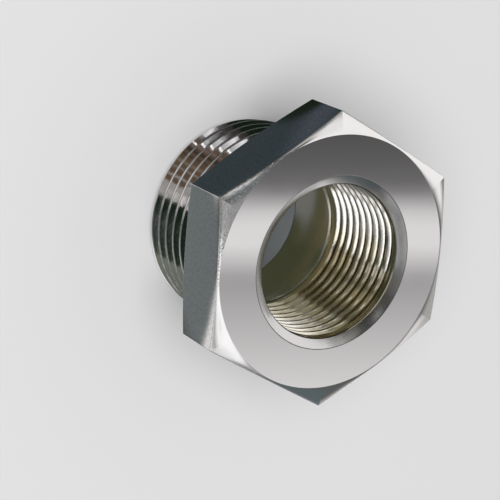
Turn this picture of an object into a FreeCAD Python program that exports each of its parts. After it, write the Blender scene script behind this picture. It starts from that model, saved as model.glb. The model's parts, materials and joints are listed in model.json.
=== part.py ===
"""Hex bushing: a turned reducing bushing with a hexagon head.

One solid, cut from hexagon bar. It stands on the flat end of its male spigot,
with +Z up along the bore. The head is at the top, and the tapped mouth opens
upwards in its turned face. The origin is the centre of the spigot's end face.

The male thread is a parallel pipe thread G 1 and the female thread G 3/4. The
solid carries each thread at the diameter that a mating part meets: the male one
at its crests, the female one at the tapping bore.
"""
import FreeCAD, Part
import os

import Sketcher

# Driving dimensions in millimetres, angles in degrees
SIZES = [
    ("across_flats", 41.0, "hexagon head, flat to flat"),
    ("head_height", 10.6, "hexagon head, from its shoulder to the turned face"),
    ("face_diameter", 40.3, "flat turned disc on top of the head"),
    ("shoulder_diameter", 37.1, "flat turned disc under the head"),
    ("hex_chamfer_angle", 15.0, "slope of the chamfers that clear the corners"),
    ("spigot_length", 19.2, "male spigot, from its end face to the head"),
    ("male_diameter", 33.25, "crests of the male thread"),
    ("end_chamfer", 1.9, "lead-in on the end of the male thread, at 45 degrees"),
    ("relief_diameter", 29.8, "undercut where the male thread meets the head"),
    ("relief_width", 3.0, "width of that undercut at its bottom"),
    ("relief_slope", 45.0, "slope of the side of the undercut towards the thread"),
    ("tapping_diameter", 24.5, "crests of the female thread"),
    ("tapped_depth", 19.2, "from the turned face to the step below the thread"),
    ("mouth_diameter", 27.6, "countersink of the tapped mouth"),
    ("mouth_slope", 30.0, "slope of the countersink below the turned face"),
    ("bore_diameter", 23.6, "plain bore below the step"),
    ("bore_edge", 0.4, "broken edge of the plain bore in the spigot's end face"),
]

# The origin point of every sketch
ORIGIN_POINT = (-1, 1)

# What holds a point level with the origin where its distance is nothing
ALIGNED = {"DistanceX": "Vertical", "DistanceY": "Horizontal"}


def make_sheet(doc):
    """Spreadsheet with one named cell for each driving dimension."""
    sheet = doc.addObject("Spreadsheet::Sheet", "sizes")
    for row, (alias, value, meaning) in enumerate(SIZES, start=1):
        sheet.set(f"A{row}", alias)
        sheet.set(f"B{row}", str(value))
        sheet.setAlias(f"B{row}", alias)
        sheet.set(f"C{row}", meaning)
    doc.recompute()
    return sheet


def origin_plane(body, role):
    """One of the body's own three base planes."""
    for feature in body.Origin.OriginFeatures:
        if feature.Role == role:
            return feature
    raise ValueError(f"{body.Label} has no {role}")


def new_sketch(body, name, role):
    """Empty sketch of the body, lying in one of its base planes."""
    sketch = body.newObject("Sketcher::SketchObject", name)
    sketch.AttachmentSupport = (origin_plane(body, role), "")
    sketch.MapMode = "FlatFace"
    return sketch


def add_closed_lines(sketch, corners):
    """Chain of lines through the corners, closed and joined end to end."""
    count = len(corners)
    points = [FreeCAD.Vector(x, y, 0) for x, y in corners]
    for i in range(count):
        sketch.addGeometry(Part.LineSegment(points[i], points[(i + 1) % count]))
    for i in range(count):
        sketch.addConstraint(Sketcher.Constraint("Coincident", i, 2, (i + 1) % count, 1))


def bind_corner(sketch, corner, kind, formula, value):
    """Hold one coordinate of a corner at its formula's value."""
    if formula == "0":
        sketch.addConstraint(Sketcher.Constraint(ALIGNED[kind], *ORIGIN_POINT, corner, 1))
        return
    index = sketch.addConstraint(Sketcher.Constraint(kind, *ORIGIN_POINT, corner, 1, value))
    name = f"{kind}_{corner}"
    sketch.renameConstraint(index, name)
    sketch.setExpression(f"Constraints.{name}", formula)


def add_profile(body, name, corners):
    """Turning profile in the plane Y = 0, each corner given as a radius and a height."""
    sketch = new_sketch(body, name, "XZ_Plane")
    values = [
        (float(sketch.evalExpression(radius)), float(sketch.evalExpression(height)))
        for radius, height in corners
    ]
    add_closed_lines(sketch, values)
    for corner, (radius, height) in enumerate(corners):
        bind_corner(sketch, corner, "DistanceX", radius, values[corner][0])
        bind_corner(sketch, corner, "DistanceY", height, values[corner][1])
    return sketch


def turn(body, kind, name, profile):
    """Full turn of a profile round the bore axis: a Revolution adds, a Groove cuts."""
    feature = body.newObject(f"PartDesign::{kind}", name)
    feature.Profile = profile
    feature.ReferenceAxis = (profile, ["V_Axis"])
    feature.Angle = 360
    return feature


def make_head(body):
    """Hexagon bar of the head, its flats facing +Y and -Y, raised by the spigot's length."""
    sketch = new_sketch(body, "head_hexagon", "XY_Plane")
    half = float(sketch.evalExpression("sizes.across_flats / 2"))
    reach = half / 3**0.5
    corners = [
        (2 * reach, 0),
        (reach, half),
        (-reach, half),
        (-2 * reach, 0),
        (-reach, -half),
        (reach, -half),
    ]
    add_closed_lines(sketch, corners)
    centre = FreeCAD.Vector(0, 0, 0)
    circle = sketch.addGeometry(Part.Circle(centre, FreeCAD.Vector(0, 0, 1), half), True)
    sketch.addConstraint(Sketcher.Constraint("Coincident", circle, 3, *ORIGIN_POINT))
    for side in range(len(corners)):
        sketch.addConstraint(Sketcher.Constraint("Tangent", side, circle))
    for side in range(1, 5):
        sketch.addConstraint(Sketcher.Constraint("Equal", 0, side))
    sketch.addConstraint(Sketcher.Constraint("Horizontal", *ORIGIN_POINT, 0, 1))
    index = sketch.addConstraint(Sketcher.Constraint("Diameter", circle, 2 * half))
    sketch.renameConstraint(index, "flats")
    sketch.setExpression("Constraints.flats", "sizes.across_flats")
    sketch.setExpression("AttachmentOffset.Base.z", "sizes.spigot_length")
    head = body.newObject("PartDesign::Pad", "head")
    head.Profile = sketch
    head.setExpression("Length", "sizes.head_height")
    return head


def cut_hex_chamfers(body):
    """Shallow cones turned on both sides of the head, which round off its corners."""
    outside = "sizes.across_flats / 2 / cos(30 deg) + 1"
    slope = "tan(sizes.hex_chamfer_angle * 1 deg)"
    top = "sizes.spigot_length + sizes.head_height"
    bottom = "sizes.spigot_length"
    face = "sizes.face_diameter / 2"
    shoulder = "sizes.shoulder_diameter / 2"
    top_drop = f"({outside} - {face}) * {slope}"
    bottom_rise = f"({outside} - {shoulder}) * {slope}"
    top_profile = [(face, top), (outside, f"{top} - {top_drop}"), (outside, top)]
    bottom_profile = [(shoulder, bottom), (outside, bottom), (outside, f"{bottom} + {bottom_rise}")]
    turn(body, "Groove", "top_chamfer", add_profile(body, "top_chamfer_profile", top_profile))
    turn(body, "Groove", "back_chamfer", add_profile(body, "back_chamfer_profile", bottom_profile))


def make_spigot(body):
    """Male spigot: lead-in chamfer, thread crests, undercut, and a root inside the head."""
    end_radius = "sizes.male_diameter / 2 - sizes.end_chamfer"
    crest_radius = "sizes.male_diameter / 2"
    relief_radius = "sizes.relief_diameter / 2"
    relief_side = "(sizes.male_diameter - sizes.relief_diameter) / 2 / tan(sizes.relief_slope * 1 deg)"
    relief_foot = "sizes.spigot_length - sizes.relief_width"
    root_top = "sizes.spigot_length + sizes.head_height / 2"
    corners = [
        ("0", "0"),
        (end_radius, "0"),
        (crest_radius, "sizes.end_chamfer"),
        (crest_radius, f"{relief_foot} - {relief_side}"),
        (relief_radius, relief_foot),
        (relief_radius, root_top),
        ("0", root_top),
    ]
    return turn(body, "Revolution", "spigot", add_profile(body, "spigot_profile", corners))


def cut_bore(body):
    """Bore from the mouth down: countersink, tapping bore, step, plain bore, broken edge."""
    top = "sizes.spigot_length + sizes.head_height"
    tapping_radius = "sizes.tapping_diameter / 2"
    bore_radius = "sizes.bore_diameter / 2"
    mouth_depth = (
        "(sizes.mouth_diameter - sizes.tapping_diameter) / 2 * tan(sizes.mouth_slope * 1 deg)"
    )
    step_height = f"{top} - sizes.tapped_depth"
    corners = [
        ("0", "0"),
        (f"{bore_radius} + sizes.bore_edge", "0"),
        (bore_radius, "sizes.bore_edge"),
        (bore_radius, step_height),
        (tapping_radius, step_height),
        (tapping_radius, f"{top} - {mouth_depth}"),
        ("sizes.mouth_diameter / 2", top),
        ("0", top),
    ]
    return turn(body, "Groove", "bore", add_profile(body, "bore_profile", corners))


def make_bushing(doc):
    """The whole bushing, in the order in which its features depend on each other."""
    body = doc.addObject("PartDesign::Body", "hex_bushing")
    body.Label = "hex_bushing"
    body.Placement = FreeCAD.Placement()
    make_head(body)
    cut_hex_chamfers(body)
    make_spigot(body)
    cut_bore(body)
    doc.recompute()
    return body


def check_features(doc, body):
    """Stop on a failed object, a feature that changed nothing, or a bad final solid."""
    for item in doc.Objects:
        if "Invalid" in item.State or "Error" in item.State:
            raise RuntimeError(f"{item.Label} failed: {item.State}")
    solids = [item for item in body.Group if hasattr(item, "BaseFeature")]
    for feature in solids[1:]:
        before = feature.BaseFeature.Shape.Volume
        gained = feature.Shape.Volume - before
        adds = feature.TypeId == "PartDesign::Revolution"
        if gained <= 0 and adds or gained >= 0 and not adds:
            raise RuntimeError(f"{feature.Label} changed the volume by {gained}")
    shape = body.Shape
    if shape.isNull() or not shape.isValid() or len(shape.Solids) != 1:
        raise RuntimeError("the bushing isn't one valid solid")


def main():
    doc = FreeCAD.newDocument("hex_bushing_document")
    make_sheet(doc)
    body = make_bushing(doc)
    check_features(doc, body)
    os.makedirs("parts", exist_ok=True)
    body.Shape.exportStep(f"parts/{body.Label}.step")
    box = body.Shape.optimalBoundingBox()
    print(f"{body.Label}: {box.XLength:.3f} x {box.YLength:.3f} x {box.ZLength:.3f} mm")
    print(f"volume {body.Shape.Volume:.1f} mm3")


main()
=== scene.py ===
"""Hex bushing: its turned and threaded body, its nickel finish and a small studio.

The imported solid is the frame. One piece replaces it: the same turned and
hexagonal form with both threads cut, in the same place and inside the same box.
Lengths are written in millimetres and handed to Blender in metres.
"""
import json
import math

import bmesh
import bpy
import numpy as np
from bpy.props import FloatProperty, FloatVectorProperty, IntProperty, PointerProperty
from mathutils import Matrix, Vector


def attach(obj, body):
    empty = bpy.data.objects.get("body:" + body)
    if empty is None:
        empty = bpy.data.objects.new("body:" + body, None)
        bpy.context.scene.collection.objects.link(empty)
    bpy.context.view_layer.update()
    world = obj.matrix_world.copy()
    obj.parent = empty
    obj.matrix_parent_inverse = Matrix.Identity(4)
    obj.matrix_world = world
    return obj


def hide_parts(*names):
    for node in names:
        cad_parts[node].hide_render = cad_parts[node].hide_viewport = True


bl_info = {
    "name": "Hex bushing",
    "version": (1, 0, 0),
    "blender": (4, 5, 0),
    "location": "3D View > Sidebar > Bushing",
    "description": "Nickel plated hex bushing with two pipe threads, and its studio",
    "category": "Object",
}

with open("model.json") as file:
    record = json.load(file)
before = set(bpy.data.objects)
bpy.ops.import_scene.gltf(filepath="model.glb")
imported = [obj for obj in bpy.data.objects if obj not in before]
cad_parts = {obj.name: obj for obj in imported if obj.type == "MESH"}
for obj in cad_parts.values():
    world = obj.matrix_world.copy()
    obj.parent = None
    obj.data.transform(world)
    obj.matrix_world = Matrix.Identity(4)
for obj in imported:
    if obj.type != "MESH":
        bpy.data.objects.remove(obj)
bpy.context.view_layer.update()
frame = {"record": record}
MM = 0.001
MOUNTS = {mount["name"]: mount for mount in frame["record"]["mounts"]}

# Columns of the turned surface: even step, columns over a hexagon corner, least step
COLUMN_STEP = math.radians(1.25)
CORNER_COLUMNS = 7
LEAST_STEP = math.radians(0.02)

# Points of a rounded corner of the turning profile
CORNER_POINTS = 3

# Worn edge of the hexagon: its reach in edge radii, and three points of its curve as
# shares of that reach inwards and along the flat
HEX_WEAR = 1.3
HEX_EDGE = [(1, 0), (0.25, 0.25), (0, 1)]

# The 55 degree thread: points of an arc, rounding and depth as shares of the pitch,
# and slope of the flanks
ARC_POINTS = 4
THREAD_ROUNDING = 0.137329
THREAD_DEPTH = 0.640327
THREAD_FLANK = math.radians(27.5)

# How a groove's section leaves the material. It follows the crest's arc up to this
# slope and to this far below the surface, then runs straight to just above it, and
# goes on past it. A crest this much lower than the full form has no arc left.
# Lengths in millimetres
CREST_LEAVE = math.radians(14)
CREST_GAP = 0.02
CREST_ABOVE = 0.004
CREST_PAST = 0.5
CREST_CUT_OFF = 0.05

# Where a groove fades out: its clearance in millimetres, and the power of the slide
FADE_CLEARANCE = 0.3
FADE_POWER = 1.6

# Where the grooves start and end, in pitches: the male one from the spigot's end face
# and from the shoulder, the female one from the step and from the countersink. The
# female groove fades over these turns at its two ends
MALE_ENDS = (-0.7, -0.65)
FEMALE_ENDS = (0.5, -0.15)
FEMALE_FADES = (0.5, 0.9)

# Fewest faces of a body with both threads cut, and the angle of an edge that is sharp
LEAST_FACES = 10000
SHARP_ANGLE = math.radians(40)

# How regions are told apart: reaches in millimetres outside the tapping bore for the
# whole mouth and for its cone, the same outside the plain bore, play for heights, and
# the upright part of a normal that is cone, turned face or turned end
MOUTH_REACH = 2.0
CONE_REACH = 0.2
BORE_REACH = 0.5
PLAY = 0.01
STEP_PLAY = 0.001
CONE_UPRIGHT = 0.8
FACE_UPRIGHT = 0.9999
END_UPRIGHT = 0.99


def mount_radius(name):
    """Radius of a round mount, in millimetres."""
    return MOUNTS[name]["dims"]["r_mm"]


def mount_height(name):
    """Height of a mount above the spigot's end face, in millimetres."""
    return MOUNTS[name]["pos_m"][2] / MM


def mount_span(name):
    """Lowest and highest level of a round mount, in millimetres."""
    half = MOUNTS[name]["dims"]["length_mm"] / 2
    return mount_height(name) - half, mount_height(name) + half


def length(name, description, millimetres):
    """Length property whose default is given in millimetres."""
    return FloatProperty(
        name=name, description=description, default=millimetres * MM, precision=5, unit="LENGTH"
    )


def angle(name, description, degrees):
    """Angle property whose default is given in degrees."""
    return FloatProperty(
        name=name, description=description, default=math.radians(degrees), subtype="ANGLE"
    )


class BushingSizes(bpy.types.PropertyGroup):
    """Sizes of the turned body that the frame's mounts don't give."""

    face_diameter: length("Face", "Flat turned disc on top of the head", 40.3)
    shoulder_diameter: length("Shoulder", "Flat turned disc under the head", 37.1)
    hex_chamfer: angle("Hex chamfer", "Slope of the chamfers on the corners", 15.0)
    relief_diameter: length("Undercut", "Bottom of the undercut below the head", 29.8)
    relief_width: length("Undercut width", "Width of its bottom", 3.0)
    mouth_diameter: length("Mouth", "Countersink of the tapped mouth", 27.6)
    mouth_edge: length("Mouth edge", "Rounded edge from the countersink into the thread", 0.2)
    bore_edge: length("Bore edge", "Broken edge of the plain bore", 0.4)
    corner_radius: length("Corner radius", "Rolled corners of the hexagon bar", 0.1)
    edge_radius: length("Edge radius", "Edges worn by tumbling and plating", 0.09)


class BushingThreads(bpy.types.PropertyGroup):
    """Both parallel pipe threads, 55 degree form."""

    male_pitch: length("Male pitch", "11 turns to the inch", 25.4 / 11)
    female_pitch: length("Female pitch", "14 turns to the inch", 25.4 / 14)
    female_major: length("Female major diameter", "Roots of the female thread", 26.441)
    male_start: angle("Male start", "Turn by which the male groove leads", 256.6)
    female_start: angle("Female start", "Turn by which the female groove leads", 0.0)
    steps: IntProperty(name="Steps", description="Facets in one turn", default=240, min=24)


def colour(name, description, red, green, blue):
    """Linear colour property."""
    return FloatVectorProperty(
        name=name,
        description=description,
        default=(red, green, blue),
        subtype="COLOR",
        min=0.0,
        max=1.0,
    )


class BushingFinish(bpy.types.PropertyGroup):
    """Colours of the plating and of the stage."""

    plate: colour("Nickel plate", "Bright nickel over turned brass", 0.71, 0.70, 0.70)
    thin_plate: colour("Thin plate", "Plate in the female thread", 0.74, 0.725, 0.69)
    brass: colour("Brass", "Side of that thread where the brass shows through", 0.73, 0.67, 0.45)
    bore: colour("Bore", "Plain bore, where little plate reaches", 0.44, 0.48, 0.42)
    bore_grey: colour("Bore, plated", "Part of the plain bore with more plate", 0.66, 0.65, 0.6)
    mouth: colour("Countersink", "Plate in the duller countersink", 0.57, 0.56, 0.56)
    # Painted shade on the darker side of the countersink
    mouth_painted_shade: colour("Tarnish", "Darker side of the countersink", 0.27, 0.27, 0.265)
    floor: colour("Floor", "Plain pale floor", 0.82, 0.815, 0.825)
    # Painted shade: darker spot of floor under the bore
    opening: colour("Opening", "Floor seen in shade through the bore", 0.235, 0.255, 0.265)


def polar_hexagon(angles, half, corner):
    """Radius of a hexagon with rounded corners, corners on the X axis.

    On a flat the radius is the half width divided by the cosine of the angle from
    the middle of the flat. Near a corner it is the far crossing of the ray with the
    corner's circle: c cos(b) + sqrt(r^2 - (c sin b)^2), b measured from the corner.
    """
    sixth = math.pi / 3
    from_corner = np.abs((angles + sixth / 2) % sixth - sixth / 2)
    flat = half / np.cos(sixth / 2 - from_corner)
    centre = (half - corner) / math.cos(sixth / 2)
    reach = np.maximum(corner**2 - (centre * np.sin(from_corner)) ** 2, 0)
    rounded = centre * np.cos(from_corner) + np.sqrt(reach)
    touches = (half - corner) * math.tan(sixth / 2) / half
    inside = np.tan(sixth / 2 - from_corner) > touches
    return np.where(inside, rounded, flat)


def column_angles(half, corner):
    """Even columns round the axis, with extra ones over each rounded hexagon corner.

    The extra ones spread over atan(c tan(30) / d) on both sides of a corner, where c is
    its radius and d its distance from the axis before rounding.
    """
    even = np.arange(0, 2 * math.pi - COLUMN_STEP / 2, COLUMN_STEP)
    spread = math.atan(corner * math.tan(math.pi / 6) / (half / math.cos(math.pi / 6)))
    extra = np.linspace(-1, 1, CORNER_COLUMNS) * spread
    corners = np.arange(6) * math.pi / 3
    fine = (corners[:, None] + extra[None, :]).ravel() % (2 * math.pi)
    merged = np.sort(np.concatenate([even, fine]))
    keep = np.diff(merged, append=merged[0] + 2 * math.pi) > LEAST_STEP
    return merged[keep]


def rounded_corner(before, corner, after, radius):
    """Arc tangent to both sides of a profile's corner, from quadratic blending.

    The points are (1-t)^2 a + 2t(1-t) c + t^2 b, where a and b lie on the two sides
    at the same distance from the corner c.
    """
    before, corner, after = (np.array(point, float) for point in (before, corner, after))
    first = corner + (before - corner) * radius / np.linalg.norm(before - corner)
    last = corner + (after - corner) * radius / np.linalg.norm(after - corner)
    share = np.linspace(0, 1, CORNER_POINTS)[:, None]
    return (1 - share) ** 2 * first + 2 * share * (1 - share) * corner + share**2 * last


def mesh_object(name, points, faces):
    """Object at the origin from points in millimetres."""
    mesh = bpy.data.meshes.new(name)
    mesh.from_pydata((np.asarray(points) * MM).tolist(), [], faces)
    mesh.update()
    body = bpy.data.objects.new(name, mesh)
    bpy.context.scene.collection.objects.link(body)
    return body


def grid_faces(rows, columns, close_rows, close_columns):
    """Quads between neighbouring points of a grid, closed where asked."""
    i = np.arange(rows if close_rows else rows - 1)[:, None]
    j = np.arange(columns if close_columns else columns - 1)[None, :]
    below, right = (i + 1) % rows, (j + 1) % columns
    corners = [i * columns + j, i * columns + right, below * columns + right, below * columns + j]
    return np.stack(corners, -1).reshape(-1, 4).tolist()


def turning_profile(sizes):
    """Corners of the turning profile, each as a radius, a height and its rounding.

    The first list goes from the bore's lower edge up the spigot to the collar below
    the hexagon, the second one from the face above it down the bore. Lengths are in
    millimetres, and a corner against the hexagon's chamfers has no rounding.
    """
    top = mount_height("turned_face")
    shoulder = mount_height("sealing_shoulder")
    male = mount_radius("male_thread")
    male_low, male_high = mount_span("male_thread")
    tapping = mount_radius("female_thread")
    step, mouth_low = mount_span("female_thread")
    bore = mount_radius("plain_bore")
    relief = sizes.relief_diameter / MM / 2
    relief_low = shoulder - sizes.relief_width / MM
    edge = sizes.bore_edge / MM
    worn = sizes.edge_radius / MM
    outside = [
        (bore + edge, 0, worn),
        (male - male_low, 0, worn),
        (male, male_low, worn),
        (male, male_high, worn),
        (relief, relief_low, worn),
        (relief, shoulder, worn),
        (sizes.shoulder_diameter / MM / 2, shoulder, 0),
    ]
    inside = [
        (sizes.face_diameter / MM / 2, top, 0),
        (sizes.mouth_diameter / MM / 2, top, worn),
        (tapping, mouth_low, sizes.mouth_edge / MM),
        (tapping, step, worn),
        (bore, step, worn),
        (bore, edge, worn),
    ]
    return outside, inside


def worn_corners(profile):
    """Points of each corner of a closed profile, blended where it has a rounding."""
    corners = []
    for index, (radius, height, rounding) in enumerate(profile):
        if rounding:
            before, after = profile[index - 1], profile[(index + 1) % len(profile)]
            points = rounded_corner(before[:2], (radius, height), after[:2], rounding)
        else:
            points = np.array([(radius, height)])
        corners.append(points)
    return corners


def level_rows(corners, columns):
    """Grid rows of radii and heights that stay the same in every column."""
    return np.repeat(np.concatenate(corners)[:, :, None], columns, axis=2)


def turned_blank(sizes):
    """Closed surface of the bushing before its threads are cut.

    The grid's rows follow the turning profile once round the section and its
    columns go round the axis. A point is (r cos a, r sin a, z). Where the profile
    crosses the hexagon, r is the hexagon's radius at a, and the chamfers drop by
    the tangent of their slope times the distance outside their turned disc.
    """
    half = MOUNTS["wrench_flat_back"]["pos_m"][1] / MM
    corner = sizes.corner_radius / MM
    slope = math.tan(sizes.hex_chamfer)
    angles = column_angles(half, corner)
    hexagon = polar_hexagon(angles, half, corner)

    outside, inside = turning_profile(sizes)
    corners = worn_corners([*outside, *inside])
    collar, shoulder, _ = outside[-1]
    face, top, _ = inside[0]
    low_edge = shoulder + (hexagon - collar) * slope
    high_edge = top - (hexagon - face) * slope
    bar = []
    worn_edge = np.array(HEX_EDGE) * sizes.edge_radius / MM * HEX_WEAR
    for inwards, up in worn_edge:
        bar.append((hexagon - inwards, low_edge - inwards * slope + up))
    for inwards, down in worn_edge[::-1]:
        bar.append((hexagon - inwards, high_edge + inwards * slope - down))

    split = len(outside)
    below = level_rows(corners[:split], len(angles))
    above = level_rows(corners[split:], len(angles))
    rows = np.concatenate([below, np.array(bar), above])
    radii, heights = rows[:, 0], rows[:, 1]
    points = np.stack([radii * np.cos(angles), radii * np.sin(angles), heights], -1)
    faces = grid_faces(len(radii), len(angles), True, True)
    return mesh_object("hex_bushing_threaded", points.reshape(-1, 3), faces)


def groove_section(pitch, root, crest):
    """Closed section of a 55 degree thread groove: distance from the root, and height.

    The root and the crests are arcs of radius r = 0.137329 pitch, joined by straight
    flanks 27.5 degrees from square. Points of the root are (r (1 - cos t), r sin t),
    and those of a crest are (depth - r (1 - cos t), pitch / 2 - r sin t). The distance
    is from the root towards the crests, and the section goes a little past them so
    that it cuts cleanly.
    """
    radius = THREAD_ROUNDING * pitch
    depth = THREAD_DEPTH * pitch
    sweep = math.pi / 2 - THREAD_FLANK
    root_turn = np.linspace(0, sweep, ARC_POINTS)
    root_side = np.stack([radius * (1 - np.cos(root_turn)), radius * np.sin(root_turn)], -1)
    crest_turn = np.linspace(sweep, CREST_LEAVE, ARC_POINTS)
    crest_side = np.stack(
        [depth - radius * (1 - np.cos(crest_turn)), pitch / 2 - radius * np.sin(crest_turn)], -1
    )
    side = np.concatenate([root_side, crest_side])
    cut = abs(crest - root)
    side = side[side[:, 0] < cut - CREST_GAP]
    cut_off = cut < depth - CREST_CUT_OFF
    run = math.tan(THREAD_FLANK) if cut_off else 1 / math.tan(CREST_LEAVE)
    rise = cut + CREST_ABOVE - side[-1, 0]
    lip = [cut + CREST_ABOVE, side[-1, 1] + rise * run]
    outside = [cut + CREST_PAST, lip[1]]
    upper = np.array([*side.tolist(), lip, outside])
    lower = upper[:0:-1] * [1, -1]
    return np.concatenate([upper, lower])


def thread_cutter(name, pitch, root, crest, ends, start, steps, fades=(0.0, 0.0)):
    """Helical groove cutter: the groove's section carried round the axis.

    At a turn t of the helix the section sits at the height pitch (t + start) / (2 pi),
    in the half plane at t, from the lower to the upper of its ends. fades are the
    turns over which it slides in from outside the material at its start and out again
    at its end: g turns from an end it is still off by (depth + clearance) (1 - g /
    fade)^1.6.
    """
    low, high = ends
    section = groove_section(pitch, root, crest)
    outwards = 1 if crest > root else -1
    first = math.floor((low / pitch * 2 * math.pi - start) / (2 * math.pi) * steps)
    last = math.ceil((high / pitch * 2 * math.pi - start) / (2 * math.pi) * steps)
    turn = np.arange(first, last + 1) * 2 * math.pi / steps
    height = pitch * (turn + start) / (2 * math.pi)
    lift = np.zeros_like(turn)
    for gap, fade in zip((turn - turn[0], turn[-1] - turn), fades):
        if fade:
            share = np.clip(gap / (fade * 2 * math.pi), 0, 1)
            lift += (abs(crest - root) + FADE_CLEARANCE) * (1 - share) ** FADE_POWER
    radii = root + outwards * (section[None, :, 0] + lift[:, None])
    heights = height[:, None] + section[None, :, 1]
    points = np.stack(
        [radii * np.cos(turn)[:, None], radii * np.sin(turn)[:, None], heights], -1
    )
    rows, columns = radii.shape
    faces = grid_faces(rows, columns, False, True)
    faces.append(list(range(columns)))
    faces.append(list(range((rows - 1) * columns, rows * columns)))
    cutter = mesh_object(name, points.reshape(-1, 3), faces)
    work = bmesh.new()
    work.from_mesh(cutter.data)
    bmesh.ops.triangulate(work, faces=work.faces[:])
    bmesh.ops.recalc_face_normals(work, faces=work.faces[:])
    if work.calc_volume(signed=True) < 0:
        bmesh.ops.reverse_faces(work, faces=work.faces[:])
    work.to_mesh(cutter.data)
    work.free()
    return cutter


def cut(body, cutters):
    """Take the cutters out of the body and delete them."""
    for cutter in cutters:
        modifier = body.modifiers.new(cutter.name, "BOOLEAN")
        modifier.object = cutter
        modifier.operation = "DIFFERENCE"
        modifier.solver = "MANIFOLD"
    graph = bpy.context.evaluated_depsgraph_get()
    finished = bpy.data.meshes.new_from_object(body.evaluated_get(graph))
    body.modifiers.clear()
    body.data = finished
    for cutter in cutters:
        bpy.data.objects.remove(cutter)


# Parts of the surface with a metal of their own
REGIONS = [
    "turned_face",
    "bar_flats",
    "hex_chamfers",
    "male_thread",
    "female_thread",
    "plain_bore",
    "turned_end",
    "mouth",
]


def region_of_faces(mesh):
    """Index in REGIONS of each face, from where its middle lies and which way it looks."""
    count = len(mesh.polygons)
    middle = np.zeros(count * 3)
    normal = np.zeros(count * 3)
    mesh.polygons.foreach_get("center", middle)
    mesh.polygons.foreach_get("normal", normal)
    middle, normal = middle.reshape(-1, 3) / MM, normal.reshape(-1, 3)
    radius, height = np.hypot(middle[:, 0], middle[:, 1]), middle[:, 2]
    shoulder = mount_height("sealing_shoulder")
    step, mouth_low = mount_span("female_thread")
    tapping = mount_radius("female_thread")
    inner = radius < tapping + MOUTH_REACH
    region = np.full(count, REGIONS.index("male_thread"))
    upright = normal[:, 2]
    head = (height > shoulder - PLAY) & ~inner
    region[head] = REGIONS.index("bar_flats")
    region[head & (np.abs(upright) > CONE_UPRIGHT)] = REGIONS.index("hex_chamfers")
    region[head & (upright > FACE_UPRIGHT)] = REGIONS.index("turned_face")
    end = (height < shoulder + PLAY) & (upright < -END_UPRIGHT)
    region[end] = REGIONS.index("turned_end")
    region[inner & (height > step)] = REGIONS.index("female_thread")
    cone = inner & (height > mouth_low) & (upright > CONE_UPRIGHT)
    region[cone & (radius > tapping + CONE_REACH)] = REGIONS.index("mouth")
    bore = radius < mount_radius("plain_bore") + BORE_REACH
    region[bore & (height <= step + STEP_PLAY)] = REGIONS.index("plain_bore")
    return region


def sharpen_borders(mesh, region):
    """Mark every edge between two regions as sharp, so that flat faces stay flat."""
    of_edge = np.zeros(len(mesh.loops), int)
    mesh.loops.foreach_get("edge_index", of_edge)
    sides = np.zeros(len(mesh.polygons), int)
    mesh.polygons.foreach_get("loop_total", sides)
    of_loop = np.repeat(region, sides)
    lowest = np.full(len(mesh.edges), len(REGIONS))
    highest = np.full(len(mesh.edges), -1)
    np.minimum.at(lowest, of_edge, of_loop)
    np.maximum.at(highest, of_edge, of_loop)
    sharp = np.zeros(len(mesh.edges), bool)
    mesh.edges.foreach_get("use_edge_sharp", sharp)
    mesh.edges.foreach_set("use_edge_sharp", sharp | (lowest != highest))


# Patterns of the metal in millimetres: the broad one of gloss and of the borders of
# stains and painted shade, the pits of the cut chamfers, and where along X the pits fade out
BROAD_GRAIN = 6
PIT_GRAIN = 0.25
PITS_END = (-20.0, -16.5)

# How far the broad pattern moves the border of stains and of painted shade, and where
# the border starts and ends along their way, in millimetres
STAIN_AND_SHADE_WAVE = 8
STAIN_AND_SHADE_BORDER = (5, 10)

# Values of a noise between which gloss, pits and mottle change
GLOSS_RANGE = (0.35, 0.65)
PIT_RANGE = (0.55, 0.65)
MOTTLE_RANGE = (0.35, 0.6)


def node(tree, kind, place, **values):
    """New shader node at a place in the editor, its properties or sockets set by name."""
    made = tree.nodes.new(kind)
    made.location = place
    for key, value in values.items():
        if hasattr(made, key):
            setattr(made, key, value)
        else:
            made.inputs[key.replace("_", " ")].default_value = value
    return made


def noise(tree, place, vector, grain, detail):
    """Noise pattern with a grain in millimetres, read at a vector."""
    made = node(tree, "ShaderNodeTexNoise", place, Scale=1 / (grain * MM), Detail=detail)
    tree.links.new(vector, made.inputs["Vector"])
    return made.outputs["Fac"]


def ramp(tree, place, source, span, ends=(0.0, 1.0)):
    """Change from one end to the other while a source goes through its span."""
    made = node(tree, "ShaderNodeMapRange", place, To_Min=ends[0], To_Max=ends[1])
    made.inputs["From Min"].default_value = span[0]
    made.inputs["From Max"].default_value = span[1]
    tree.links.new(source, made.inputs["Value"])
    return made.outputs["Result"]


def blend(tree, place, share, first, second):
    """Mix of two colours by a share of the second."""
    made = node(tree, "ShaderNodeMix", place, data_type="RGBA")
    made.inputs["A"].default_value = (*first, 1)
    made.inputs["B"].default_value = (*second, 1)
    tree.links.new(share, made.inputs["Factor"])
    return made.outputs["Result"]


def pitted(tree, where, normal, depth):
    """Normal with the pits of a cut surface, which fade out along X."""
    pits = noise(tree, (-900, -400), where, PIT_GRAIN, 1.0)
    place = node(tree, "ShaderNodeSeparateXYZ", (-700, -650))
    tree.links.new(where, place.inputs["Vector"])
    span = [value * MM for value in PITS_END]
    strength = ramp(tree, (-450, -650), place.outputs["X"], span, (1.0, 0.0))
    bump = node(tree, "ShaderNodeBump", (-50, -400), Distance=depth * MM)
    tree.links.new(strength, bump.inputs["Strength"])
    tree.links.new(ramp(tree, (-450, -400), pits, PIT_RANGE), bump.inputs["Height"])
    tree.links.new(normal, bump.inputs["Normal"])
    return bump.outputs["Normal"]


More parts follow.
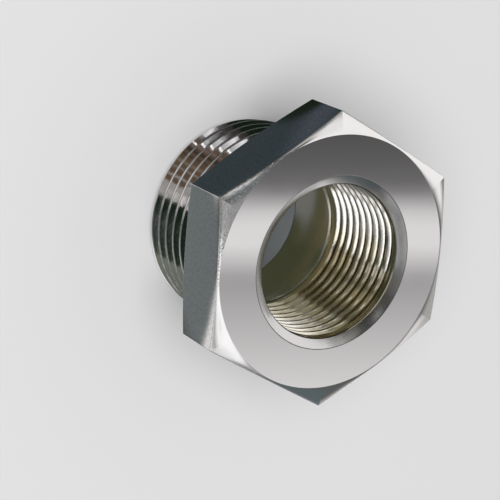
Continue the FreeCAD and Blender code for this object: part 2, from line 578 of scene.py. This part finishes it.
def stained_and_shaded(tree, where, broad, tint, stain_and_shade):
    """Colour that changes along a way into a second tint with an uneven border, for stains and for
    painted shade.
    """
    stain_and_shade_tint, way = stain_and_shade
    along = node(tree, "ShaderNodeVectorMath", (-700, 500), operation="DOT_PRODUCT")
    tree.links.new(where, along.inputs[0])
    along.inputs[1].default_value = way
    wave = node(tree, "ShaderNodeMath", (-500, 500), operation="MULTIPLY_ADD")
    tree.links.new(broad, wave.inputs[0])
    wave.inputs[1].default_value = STAIN_AND_SHADE_WAVE * MM
    tree.links.new(along.outputs["Value"], wave.inputs[2])
    span = [value * MM for value in STAIN_AND_SHADE_BORDER]
    share = ramp(tree, (-300, 500), wave.outputs["Value"], span)
    return blend(tree, (-100, 500), share, tint, stain_and_shade_tint)


def metal(name, tint, roughness, grain, depth, stretch=(1, 1, 1), pits=0.0, stain_and_shade=None, mottle=0.0):
    """Bright metal with a fine grain in its bump and a broad one in its roughness.

    roughness is its lowest and its highest value. grain is the size of the grain and
    depth its height, in millimetres. stretch multiplies the grain's size along each
    axis. pits is the depth of a coarser bump for cut surfaces that break a reflection
    into points, on their side towards -X. stain_and_shade is a second tint and the way
    towards which it takes over from the first, as a vector whose length says how sharp
    the border is; it gives real stains and also painted shade. mottle is how much of the
    tint the fine grain takes away at most.
    """
    material = bpy.data.materials.new(name)
    material.use_nodes = True
    tree = material.node_tree
    shader = tree.nodes["Principled BSDF"]
    shader.inputs["Base Color"].default_value = (*tint, 1)
    shader.inputs["Metallic"].default_value = 1.0
    where = node(tree, "ShaderNodeTexCoord", (-1100, 0)).outputs["Object"]
    mapping = node(tree, "ShaderNodeMapping", (-900, 0), Scale=[1 / axis for axis in stretch])
    tree.links.new(where, mapping.inputs["Vector"])
    fine = noise(tree, (-700, 200), mapping.outputs["Vector"], grain, 3.0)
    broad = noise(tree, (-700, -100), where, BROAD_GRAIN, 2.0)
    gloss = ramp(tree, (-450, -100), broad, GLOSS_RANGE, roughness)
    tree.links.new(gloss, shader.inputs["Roughness"])
    bump = node(tree, "ShaderNodeBump", (-250, -300), Strength=1.0, Distance=depth * MM)
    tree.links.new(fine, bump.inputs["Height"])
    normal = bump.outputs["Normal"]
    if pits:
        normal = pitted(tree, where, normal, pits)
    tree.links.new(normal, shader.inputs["Normal"])
    if stain_and_shade:
        colours = stained_and_shaded(tree, where, broad, tint, stain_and_shade)
        tree.links.new(colours, shader.inputs["Base Color"])
    if mottle:
        darker = [channel * (1 - mottle) for channel in tint]
        share = ramp(tree, (-300, 800), fine, MOTTLE_RANGE)
        colours = blend(tree, (-100, 800), share, darker, tint)
        tree.links.new(colours, shader.inputs["Base Color"])
    return material


def region_materials(finish):
    """The metal of each region, in the order of REGIONS, with the terms of metal()."""
    plate, thin, bore = (tuple(c) for c in (finish.plate, finish.thin_plate, finish.bore))
    mouth = tuple(finish.mouth)
    brass = (tuple(finish.brass), (0.3, -0.12, 0))
    grey = (tuple(finish.bore_grey), (0, 1, 0))
    # The countersink's darker side is painted shade, laid on like the stains
    painted_shade = (tuple(finish.mouth_painted_shade), (0.68, 0.32, 0))
    return [
        metal("turned_face_plate", plate, (0.035, 0.055), 0.3, 0.0001),
        metal("bar_flat_plate", plate, (0.09, 0.15), 0.3, 0.003, stretch=(1, 1, 2), mottle=0.14),
        metal("chamfer_plate", plate, (0.08, 0.12), 0.2, 0.003, pits=0.1),
        metal("male_thread_plate", plate, (0.04, 0.07), 0.9, 0.006),
        metal("female_thread_plate", thin, (0.06, 0.10), 0.3, 0.004, stain_and_shade=brass),
        metal("bore_plate", bore, (0.2, 0.3), 0.5, 0.002, stain_and_shade=grey),
        metal("turned_end_plate", plate, (0.15, 0.25), 0.3, 0.001),
        metal("mouth_plate", mouth, (0.14, 0.22), 0.25, 0.008, stain_and_shade=painted_shade),
    ]


def male_groove(threads):
    """Cutter of the male thread, which runs out in the undercut."""
    pitch = threads.male_pitch / MM
    crest = mount_radius("male_thread")
    root = crest - THREAD_DEPTH * pitch
    ends = (MALE_ENDS[0] * pitch, mount_height("sealing_shoulder") + MALE_ENDS[1] * pitch)
    start, steps = threads.male_start, threads.steps
    return thread_cutter("male_groove", pitch, root, crest, ends, start, steps)


def female_groove(threads):
    """Cutter of the female thread, from its step to the countersink."""
    pitch = threads.female_pitch / MM
    crest = mount_radius("female_thread")
    root = threads.female_major / MM / 2
    step, mouth_low = mount_span("female_thread")
    ends = (step + FEMALE_ENDS[0] * pitch, mouth_low + FEMALE_ENDS[1] * pitch)
    start, steps = threads.female_start, threads.steps
    return thread_cutter("female_groove", pitch, root, crest, ends, start, steps, FEMALE_FADES)


def shade(mesh, finish):
    """Give each region its metal, and smooth everything but corners and borders."""
    mesh.materials.clear()
    for material in region_materials(finish):
        mesh.materials.append(material)
    region = region_of_faces(mesh)
    mesh.polygons.foreach_set("material_index", region)
    mesh.polygons.foreach_set("use_smooth", np.ones(len(mesh.polygons), bool))
    mesh.set_sharp_from_angle(angle=SHARP_ANGLE)
    sharpen_borders(mesh, region)
    mesh.update()


class BUSHING_OT_body(bpy.types.Operator):
    """Make the turned body, cut both threads and give each region its metal"""

    bl_idname = "bushing.body"
    bl_label = "Threaded body"

    def execute(self, context):
        threads = context.scene.bushing_threads
        body = turned_blank(context.scene.bushing_sizes)
        cut(body, [male_groove(threads), female_groove(threads)])
        if len(body.data.polygons) < LEAST_FACES:
            raise RuntimeError("the threads weren't cut")
        shade(body.data, context.scene.bushing_finish)
        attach(body, "root")
        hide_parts("hex_bushing")
        return {"FINISHED"}


# The camera, fitted to the photo: where it looks, from which side, and how it leans
CAMERA_AIM = (-2.93, -4.08, 12.75)
CAMERA_DISTANCE = 281.56
CAMERA_AZIMUTH = -178.96
CAMERA_ELEVATION = 54.378
CAMERA_ROLL = -118.02
CAMERA_LENS = 127.09
CAMERA_SHIFT = (0.0008, -0.0027)


def towards(azimuth, elevation):
    """Unit vector at an azimuth from +X towards +Y and an elevation, in degrees."""
    a, e = math.radians(azimuth), math.radians(elevation)
    return Vector((math.cos(a) * math.cos(e), math.sin(a) * math.cos(e), math.sin(e)))


def make_camera():
    """Camera that looks back along its direction, turned about its own view by the roll."""
    back = towards(CAMERA_AZIMUTH, CAMERA_ELEVATION)
    level = Vector((0, 0, 1)).cross(back).normalized()
    upright = back.cross(level)
    roll = math.radians(CAMERA_ROLL)
    up = upright * math.cos(roll) + level * math.sin(roll)
    right = up.cross(back)
    data = bpy.data.cameras.new("camera")
    data.lens = CAMERA_LENS
    data.shift_x, data.shift_y = CAMERA_SHIFT
    data.clip_start, data.clip_end = 0.01, 10.0
    camera = bpy.data.objects.new("camera", data)
    place = (Vector(CAMERA_AIM) + back * CAMERA_DISTANCE) * MM
    turn = Matrix((right, up, back)).transposed()
    camera.matrix_world = Matrix.Translation(place) @ turn.to_4x4()
    bpy.context.scene.collection.objects.link(camera)
    bpy.context.scene.camera = camera


def glow_sheet(name, points, faces, colours):
    """Glowing surface with a colour at each point, seen only in reflections."""
    sheet = mesh_object(name, points, faces)
    layer = sheet.data.color_attributes.new("glow", "FLOAT_COLOR", "POINT")
    opaque = np.concatenate([colours, np.ones((len(colours), 1))], 1)
    layer.data.foreach_set("color", opaque.ravel())
    material = bpy.data.materials.new(name)
    material.use_nodes = True
    tree = material.node_tree
    tree.nodes.remove(tree.nodes["Principled BSDF"])
    attribute = node(tree, "ShaderNodeAttribute", (-200, 0), attribute_name="glow")
    glow = node(tree, "ShaderNodeEmission", (0, 0), Strength=1.0)
    tree.links.new(attribute.outputs["Color"], glow.inputs["Color"])
    tree.links.new(glow.outputs["Emission"], tree.nodes["Material Output"].inputs["Surface"])
    sheet.data.materials.append(material)
    sheet.visible_camera = False
    sheet.visible_diffuse = False
    sheet.visible_shadow = False


def paint(places, base, strokes):
    """Colours at places of a flat chart: soft strokes laid over a base one by one.

    A stroke covers a place by s^2 (3 - 2 s), where s falls from 1 to 0 as the
    distance from its path goes from its half width less its softness to the two
    added up.
    """
    colours = np.tile(np.array(base, float), (len(places), 1))
    for path, half_width, softness, tint in strokes:
        path = np.array(path, float)
        gap = np.full(len(places), np.inf)
        for a, b in zip(path[:-1], path[1:]):
            along = np.clip((places - a) @ (b - a) / ((b - a) @ (b - a)), 0, 1)
            gap = np.minimum(gap, np.linalg.norm(places - a - along[:, None] * (b - a), axis=1))
        share = np.clip((half_width + softness - gap) / (2 * softness), 0, 1)
        cover = share**2 * (3 - 2 * share)
        colours += cover[:, None] * (np.array(tint) - colours)
    return colours


# Radius of the dome in millimetres, and the step of its chart in degrees
DOME_RADIUS = 420
DOME_STEP = 1.5

# What the metal mirrors of the studio, as strokes over azimuth and elevation in
# degrees: path, half width, softness and linear colour
STUDIO_BASE = (0.13, 0.135, 0.13)
STUDIO = [
    ([(-200, 90), (200, 90)], 8, 2, (0.42, 0.42, 0.42)),
    ([(-190, 79), (-60, 79)], 5, 2, (0.52, 0.52, 0.52)),
    ([(-190, 40), (-190, 5)], 36, 4, (0.38, 0.36, 0.34)),
    ([(-105, 30), (-75, 12)], 16, 4, (0.2, 0.22, 0.18)),
    ([(-116, 68), (-66, 70)], 9, 2, (1.35, 1.35, 1.35)),
    ([(-62, 66), (-55, 48)], 8, 2, (1.35, 1.35, 1.35)),
    ([(-80, 60), (-68, 56)], 3, 1.5, (1.3, 1.3, 1.3)),
    ([(-145, 74), (-128, 72.5), (-110, 69)], 2.5, 1, (0.2, 0.225, 0.23)),
    ([(-110, 67), (-96, 62.5), (-84, 57), (-72, 51), (-64, 45)], 2.5, 1.2, (0.4, 0.385, 0.375)),
    ([(-66, 42), (-57, 35), (-48, 28)], 3, 1.5, (0.62, 0.6, 0.58)),
    (
        [(-128, 66.4), (-119, 64), (-105, 60.3), (-91, 54.7), (-84, 51.5), (-70, 45)],
        2.8,
        0.8,
        (1.6, 1.62, 1.68),
    ),
    ([(-136, 69.3), (-128, 66)], 1.7, 0.6, (1.6, 1.62, 1.68)),
    ([(-57, 46), (-59.5, 41)], 2.5, 1, (1.1, 1.1, 1.1)),
    ([(-159, 57), (-135, 55.5), (-118, 51), (-103, 46)], 4, 1.5, (0.01, 0.02, 0.012)),
    ([(-144.5, 57.5), (-147.5, 57.5)], 1.2, 0.6, (0.15, 0.17, 0.17)),
    ([(-161, 57), (-172, 57.6)], 0.7, 0.5, (1.0, 0.98, 0.98)),
    ([(100, 20), (140, 20)], 24, 3, (0.05, 0.042, 0.038)),
    ([(160, 18), (175, 16)], 22, 4, (0.4, 0.385, 0.375)),
    ([(120, 54), (200, 58)], 8, 2, (0.12, 0.08, 0.052)),
    ([(131, 47), (132, 56)], 1.2, 0.7, (0.2, 0.14, 0.12)),
    ([(136, 47), (138.5, 58)], 1.7, 0.7, (0.035, 0.033, 0.025)),
    ([(143, 50), (145, 60)], 0.9, 0.7, (0.06, 0.042, 0.028)),
    ([(152, 50), (154, 60)], 1.3, 0.7, (0.22, 0.18, 0.14)),
    ([(160.5, 52), (161, 60)], 0.8, 0.5, (0.3, 0.28, 0.26)),
    ([(170.5, 52), (171.5, 60)], 0.9, 0.6, (0.5, 0.49, 0.48)),
    ([(105, 48), (118, 51)], 5, 1.5, (0.42, 0.42, 0.43)),
    ([(112, 61), (129, 64), (150, 66.3), (200, 67)], 2.8, 0.8, (0.055, 0.038, 0.012)),
    ([(-200, 67), (-165, 66.5), (-142, 65)], 2.8, 0.8, (0.06, 0.042, 0.025)),
    ([(121, 67), (127, 68.7), (141, 69.8)], 1.3, 0.8, (0.16, 0.13, 0.065)),
    ([(144, 71.3), (154, 72.5), (166, 73)], 1.8, 0.8, (0.38, 0.35, 0.28)),
    ([(173, 72.5), (200, 72.5)], 1.8, 0.8, (0.24, 0.19, 0.14)),
    ([(-187, 72.5), (-178, 72)], 1.8, 0.8, (0.24, 0.19, 0.14)),
    ([(-172, 71.8), (-164, 70.6), (-150, 71.2), (-142, 71.4)], 1.5, 0.6, (0.72, 0.63, 0.57)),
    ([(-166, 74.8), (-148, 74)], 1.2, 0.8, (0.2, 0.18, 0.15)),
    ([(82, 58), (98, 63)], 2.5, 1.5, (0.75, 0.73, 0.7)),
    ([(92, 54), (106, 58)], 4, 1.5, (0.25, 0.235, 0.18)),
    ([(84, 2), (84, 26)], 18, 1.5, (0.008, 0.016, 0.009)),
    ([(74, 47), (91, 50)], 2.8, 1.2, (0.5, 0.48, 0.44)),
    ([(70, 77), (125, 77)], 7, 2, (0.16, 0.185, 0.195)),
    ([(112, 73), (138, 73)], 2, 1, (1.0, 1.0, 1.0)),
    ([(32, 14), (48, 33), (60, 48), (64, 55)], 11, 2.5, (1.2, 1.19, 1.17)),
    ([(67, 56), (78, 55.5)], 4.5, 2, (1.08, 1.07, 1.06)),
    ([(24, 8), (28, 12)], 3.5, 1, (0.3, 0.29, 0.27)),
    ([(10, 10), (18.5, 10)], 3, 1, (0.9, 0.89, 0.89)),
    ([(72, 42), (74, 47)], 2, 2, (0.72, 0.7, 0.66)),
    ([(-14, 2), (10, 2)], 14, 4, (0.5, 0.5, 0.48)),
    ([(-40, 4), (-8, 4)], 5, 2, (0.75, 0.74, 0.7)),
    ([(-27, 8), (-18, 7)], 4.5, 1.5, (1.3, 1.28, 1.27)),
    ([(-8, 8), (-3, 14)], 3, 2, (0.95, 0.93, 0.92)),
    ([(-42, 20), (-26, 10)], 5, 2, (0.55, 0.54, 0.54)),
    ([(-54, 12), (-48, 20)], 8, 3, (0.3, 0.3, 0.29)),
    ([(-47, 40), (-44, 42)], 4, 2, (0.47, 0.47, 0.5)),
    ([(-29, 22), (-40, 36)], 6, 2, (0.13, 0.165, 0.175)),
]

# First and last radius of the table top's rings in millimetres, and their number
TABLE_RADII = (0.5, 150)
TABLE_RINGS = 150

# What the metal mirrors of the table, as strokes over x and y in millimetres
TABLE_BASE = (0.12, 0.135, 0.125)
TABLE = [
    ([(-90, 0), (-20, 0)], 22, 6, (0.7, 0.7, 0.69)),
    ([(-95, -15), (-60, -8)], 6, 3, (1.3, 1.3, 1.3)),
    ([(-70, -61), (-30, -51.5)], 12, 3.5, (0.98, 0.97, 0.95)),
    ([(-27, 38), (-27, 22)], 16.5, 2, (0.045, 0.06, 0.068)),
    ([(-31, 42), (-20, 38)], 5, 5, (0.075, 0.09, 0.108)),
    ([(-8, 30), (-2, 24)], 9, 2, (0.012, 0.02, 0.012)),
    ([(-28.5, -28), (-27, -20)], 14, 2, (0.187, 0.208, 0.213)),
    ([(-12, -14), (-5, -21)], 2.5, 1, (1.3, 1.3, 1.3)),
    ([(-2, 0), (2, 0)], 12, 1.5, (0.1, 0.096, 0.058)),
    ([(-7, 6), (-2, 6)], 2.5, 1.5, (0.25, 0.21, 0.13)),
    ([(0, -4), (2, 0)], 2, 1.5, (0.17, 0.14, 0.08)),
    ([(4, -7), (6, -10)], 2.5, 1.5, (0.28, 0.25, 0.21)),
    ([(-2, -9), (-2, -12)], 2.5, 1.5, (0.25, 0.22, 0.18)),
    ([(-7, -4), (-8, -5)], 2, 1, (0.6, 0.56, 0.52)),
    ([(9, 6), (8, 4)], 2, 1, (0.2, 0.2, 0.195)),
]

# Tint of the two cards, and the rows in which their brightness changes
CARD_TINT = (1.0, 0.985, 0.985)
CARD_ROWS = 201

# Card that the turned face mirrors, in millimetres: how far along the mirrored view it
# stands, its shift across and up, and its size across and up
FACE_CARD_DISTANCE = 300
FACE_CARD_SHIFT = (13, -2)
FACE_CARD_SIZE = (130, 107)

# Its brightness, from its lower to its upper edge
FACE_STOPS = [
    (0.0, 1.05),
    (0.12, 0.89),
    (0.3, 0.65),
    (0.43, 0.475),
    (0.46, 0.51),
    (0.51, 0.78),
    (0.55, 0.98),
    (0.61, 0.96),
    (0.65, 0.81),
    (0.71, 0.29),
    (0.74, 0.195),
    (0.8, 0.15),
    (0.88, 0.12),
    (1.0, 0.1),
]

# Strip light beside a grey card, which the turns of the male thread mirror one above
# the other: both ends of the strip and the card's reach from it, in millimetres
STRIP_ENDS = [(-38.3, 34.9, 48.0), (-32.8, 41.0, 58.5)]
STRIP_REACH = (17.8, 11.5, -3.4)

# Their brightness, from the strip to the card's far edge
STRIP_STOPS = [(0.0, 1.7), (0.085, 1.7), (0.095, 0.46), (0.45, 0.7), (0.8, 1.05), (1.0, 0.8)]

# Floor in millimetres: half its width, the heights of the spot of painted shade under the
# bore and of the table top above it, and how far the spot reaches past the bore
FLOOR_REACH = 3000
SPOT_HEIGHT = 0.01
TABLE_HEIGHT = 0.02
SPOT_MARGIN = 0.8


def make_studio():
    """Dome round the bushing, painted with what the metal mirrors of the studio."""
    columns = np.arange(-180, 180, DOME_STEP)
    azimuth, elevation = np.meshgrid(columns, np.arange(0, 90 + DOME_STEP, DOME_STEP))
    chart = np.stack([azimuth.ravel(), elevation.ravel()], -1)
    a, e = np.radians(chart).T
    out = np.stack([np.cos(a) * np.cos(e), np.sin(a) * np.cos(e), np.sin(e)], -1)
    points = out * DOME_RADIUS + [0, 0, mount_height("sealing_shoulder")]
    faces = grid_faces(*azimuth.shape, False, True)
    glow_sheet("studio", points, faces, paint(chart, STUDIO_BASE, STUDIO))


def make_table():
    """Round table top just above the floor, painted with what the metal mirrors of it."""
    rings = np.linspace(*TABLE_RADII, TABLE_RINGS)
    radius, turn = np.meshgrid(rings, np.radians(np.arange(0, 360, 2)))
    chart = np.stack([radius * np.cos(turn), radius * np.sin(turn)], -1).reshape(-1, 2)
    points = np.concatenate([chart, np.full((len(chart), 1), TABLE_HEIGHT)], 1)
    faces = grid_faces(*radius.shape, True, False)
    glow_sheet("table", points, faces, paint(chart, TABLE_BASE, TABLE))


def glow_card(name, corner, across, up, stops):
    """Flat card from one corner, its brightness changing along its way up by stops."""
    share = np.linspace(0, 1, CARD_ROWS)
    levels = np.interp(share, *np.array(stops).T)
    side, height = np.meshgrid([0, 1], share)
    points = corner + side.reshape(-1, 1) * across + height.reshape(-1, 1) * up
    colours = np.repeat(levels, 2)[:, None] * CARD_TINT
    glow_sheet(name, points, grid_faces(*side.shape, False, False), colours)


def make_face_card():
    """Card that the turned face mirrors to the camera, square to its mirrored view."""
    mirror = Matrix.Diagonal((1, 1, -1))
    turn = bpy.context.scene.camera.matrix_world.to_3x3()
    across, up, back = (np.array(mirror @ turn.col[i]) for i in range(3))
    width, height = FACE_CARD_SIZE
    right, rise = FACE_CARD_SHIFT
    centre = np.array([0, 0, mount_height("turned_face")]) - back * FACE_CARD_DISTANCE
    corner = centre + across * (right - width / 2) + up * (rise - height / 2)
    glow_card("face_card", corner, across * width, up * height, FACE_STOPS)


def make_strip():
    """Strip light and grey card that only the male thread mirrors."""
    low, high = np.array(STRIP_ENDS)
    glow_card("strip", low, high - low, np.array(STRIP_REACH), STRIP_STOPS)


def matt(name, tint):
    """Plain matt material."""
    material = bpy.data.materials.new(name)
    material.use_nodes = True
    shader = material.node_tree.nodes["Principled BSDF"]
    shader.inputs["Base Color"].default_value = (*tint, 1)
    shader.inputs["Roughness"].default_value = 1.0
    shader.inputs["Specular IOR Level"].default_value = 0.0
    return material


def make_floor(finish):
    """Wide pale floor under the bushing, and a darker spot of painted shade on it, seen through its
    bore.
    """
    reach = FLOOR_REACH
    points = [(-reach, -reach, 0), (reach, -reach, 0), (reach, reach, 0), (-reach, reach, 0)]
    floor = mesh_object("floor", points, [[0, 1, 2, 3]])
    floor.data.materials.append(matt("pale_floor", finish.floor))
    # A disc of painted shade on the floor under the bore, where only shade falls
    turn = np.radians(np.arange(0, 360, 5))
    radius = mount_radius("plain_bore") + SPOT_MARGIN
    level = np.full(len(turn), SPOT_HEIGHT)
    spot = np.stack([radius * np.cos(turn), radius * np.sin(turn), level], -1)
    opening = mesh_object("opening", spot, [list(range(len(turn)))])
    opening.data.materials.append(matt("shaded_floor", finish.opening))


# Share of the floor's light that comes from the lamp; the even world gives the rest.
# The lamp's azimuth and elevation in degrees, its distance and its size in metres
LAMP_SHARE = 0.6
LAMP_PLACE = (-170, 62)
LAMP_DISTANCE = 1.5
LAMP_SIZE = 1.1


def make_lamps():
    """Even world light, and one large soft lamp that the metal doesn't mirror.

    A lamp of power P at a distance d and an elevation e gives the floor the share
    P sin(e) / (pi^2 d^2) of what an even white world of strength 1 gives it.
    """
    world = bpy.data.worlds.new("studio")
    world.use_nodes = True
    background = world.node_tree.nodes["Background"]
    background.inputs["Color"].default_value = (1.0, 1.0, 1.0, 1)
    background.inputs["Strength"].default_value = 1 - LAMP_SHARE
    bpy.context.scene.world = world
    data = bpy.data.lights.new("soft_lamp", "AREA")
    data.shape = "DISK"
    data.size = LAMP_SIZE
    lamp = bpy.data.objects.new("soft_lamp", data)
    lamp.visible_glossy = False
    out = towards(*LAMP_PLACE)
    across = Vector((0, 0, 1)).cross(out).normalized()
    turn = Matrix((across, out.cross(across), out)).transposed()
    lamp.matrix_world = Matrix.Translation(out * LAMP_DISTANCE) @ turn.to_4x4()
    data.energy = LAMP_SHARE * math.pi**2 * LAMP_DISTANCE**2 / out.z
    bpy.context.scene.collection.objects.link(lamp)


class BUSHING_OT_stage(bpy.types.Operator):
    """Make the camera, the floor, the lamps and what the metal mirrors"""

    bl_idname = "bushing.stage"
    bl_label = "Stage"

    def execute(self, context):
        make_camera()
        make_floor(context.scene.bushing_finish)
        make_lamps()
        make_studio()
        make_table()
        make_face_card()
        make_strip()
        context.scene.view_settings.view_transform = "Standard"
        return {"FINISHED"}


class VIEW3D_PT_bushing(bpy.types.Panel):
    """Sizes and buttons of the bushing"""

    bl_idname = "VIEW3D_PT_bushing"
    bl_label = "Hex bushing"
    bl_space_type = "VIEW_3D"
    bl_region_type = "UI"
    bl_category = "Bushing"

    def draw(self, context):
        for group in ("bushing_sizes", "bushing_threads", "bushing_finish"):
            values = getattr(context.scene, group)
            for name in values.__annotations__:
                self.layout.prop(values, name)
        for operator in (BUSHING_OT_body, BUSHING_OT_stage):
            self.layout.operator(operator.bl_idname)


CLASSES = [
    BushingSizes,
    BushingThreads,
    BushingFinish,
    BUSHING_OT_body,
    BUSHING_OT_stage,
    VIEW3D_PT_bushing,
]


def register():
    """Add the classes, and their sizes and colours to every scene."""
    for cls in CLASSES:
        bpy.utils.register_class(cls)
    bpy.types.Scene.bushing_sizes = PointerProperty(type=BushingSizes)
    bpy.types.Scene.bushing_threads = PointerProperty(type=BushingThreads)
    bpy.types.Scene.bushing_finish = PointerProperty(type=BushingFinish)


def unregister():
    """Take everything that register adds away again."""
    for name in ("bushing_sizes", "bushing_threads", "bushing_finish"):
        delattr(bpy.types.Scene, name)
    for cls in reversed(CLASSES):
        bpy.utils.unregister_class(cls)


def main():
    """Build everything in order."""
    register()
    bpy.ops.bushing.body()
    bpy.ops.bushing.stage()


if __name__ == "__main__":
    main()
